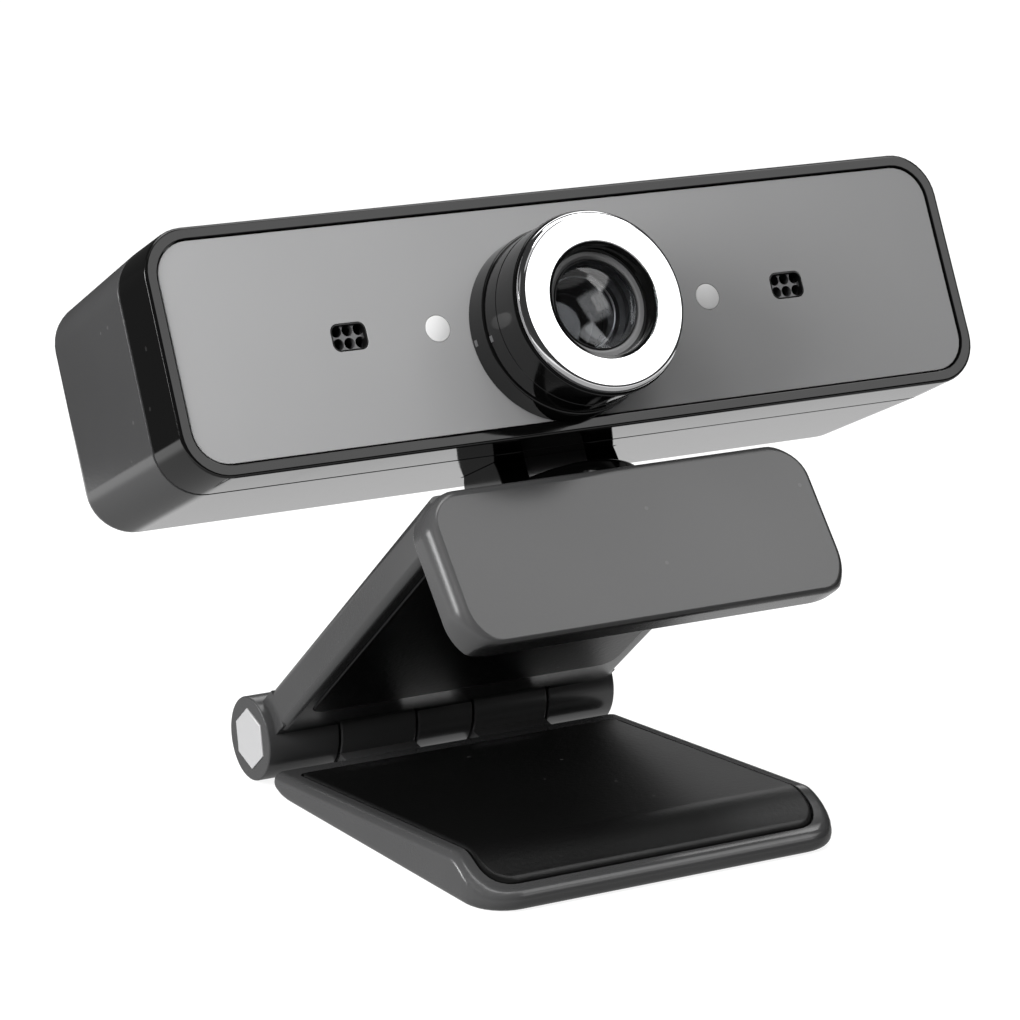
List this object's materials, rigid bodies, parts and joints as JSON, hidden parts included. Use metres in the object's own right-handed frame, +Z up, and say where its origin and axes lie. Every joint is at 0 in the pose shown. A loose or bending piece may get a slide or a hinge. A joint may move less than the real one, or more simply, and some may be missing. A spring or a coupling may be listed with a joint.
{
  "type": "webcam on clip",
  "caption": "Wide bar webcam with a projecting manual-focus lens; it tilts and pans on a folding clip that grips a monitor or stands on a desk.",
  "frame": {"origin": "on the flat underside of the clip's lower leaf, in the middle of its width, 31.7 mm behind its front edge", "axes": "+X to the object's right as seen from behind the lens, the lens looks along -Y and up, +Z up"},
  "size_m": [0.1, 0.0592, 0.0717],
  "materials": {
    "satin_plastic": "satin moulded, fine texture",
    "bar_plastic": "satin moulded",
    "gloss_black": "polished black",
    "panel_grey": "glossy grey panel",
    "rubber": "matt black rubber",
    "hex_silver": "light silver paint",
    "steel": "plain steel",
    "chrome": "mirror bright",
    "cup_grey": "dark grey",
    "glass": "coated lens glass",
    "light_window": "light diffuser",
    "mesh_grey": "grey mesh",
    "board_green": "solder mask green",
    "chip_black": "moulded black",
    "nylon_white": "natural nylon",
    "sensor_glass": "cover glass on a sensor"
  },
  "bodies": {
    "base": {"lower_leaf": "satin_plastic", "base_pad": "rubber", "hinge_pin": "steel"},
    "arm": {"upper_leaf": "satin_plastic", "arm_pad": "rubber", "lip_pad": "rubber", "hex_cap_left": "hex_silver", "hex_cap_right": "hex_silver"},
    "turret": {"swivel_yoke": "gloss_black", "swivel_washer": "steel", "swivel_nut": "steel", "tilt_pin": "steel"},
    "bar": {"rear_shell": "bar_plastic", "front_bezel": "gloss_black", "front_panel": "panel_grey", "mic_mesh_left": "mesh_grey", "mic_mesh_right": "mesh_grey", "microphone_left": "steel", "microphone_right": "steel", "light_pipe_left": "light_window", "light_pipe_right": "light_window", "led_left": "nylon_white", "led_right": "nylon_white", "main_board": "board_green", "board_screw_1": "steel", "board_screw_2": "steel", "board_screw_3": "steel", "board_screw_4": "steel", "image_sensor": "sensor_glass", "processor_chip": "chip_black", "cable_connector": "nylon_white", "cable_gland": "rubber", "lens_holder": "chip_black", "barrel_collar": "gloss_black"},
    "focus": {"focus_ring": "gloss_black", "chrome_ring": "chrome", "lens_cup": "cup_grey"},
    "lens": {"lens_barrel": "chip_black", "front_lens": "glass", "rear_lens": "glass"}
  },
  "joints": [
    {"name": "clip_hinge", "type": "hinge", "parent": "base", "child": "arm", "pos_m": [0, 0.0225, 0.0054], "axis": [-1, 0, 0], "range_deg": [-21, 80]},
    {"name": "swivel", "type": "hinge", "parent": "arm", "child": "turret", "pos_m": [0, -0.00813, 0.03456], "axis": [0, 0.6401, 0.7683], "range_deg": [-90, 90]},
    {"name": "tilt", "type": "hinge", "parent": "turret", "child": "bar", "pos_m": [0, -0.00435, 0.0391], "axis": [-1, 0, 0], "range_deg": [-6, 35]},
    {"name": "focus_turn", "type": "hinge", "parent": "bar", "child": "focus", "pos_m": [-0.0034, -0.02268, 0.06295], "axis": [0, -0.8996, 0.4368], "range_deg": [-90, 90]},
    {"name": "lens_travel", "type": "slide", "parent": "bar", "child": "lens", "axis": [0, -0.8996, 0.4368], "range_m": [-0.0005, 0.0005]}
  ],
  "couplings": [
    {"joint": "lens_travel", "follows": "focus_turn", "m_per_rad": 0.000318}
  ]
}
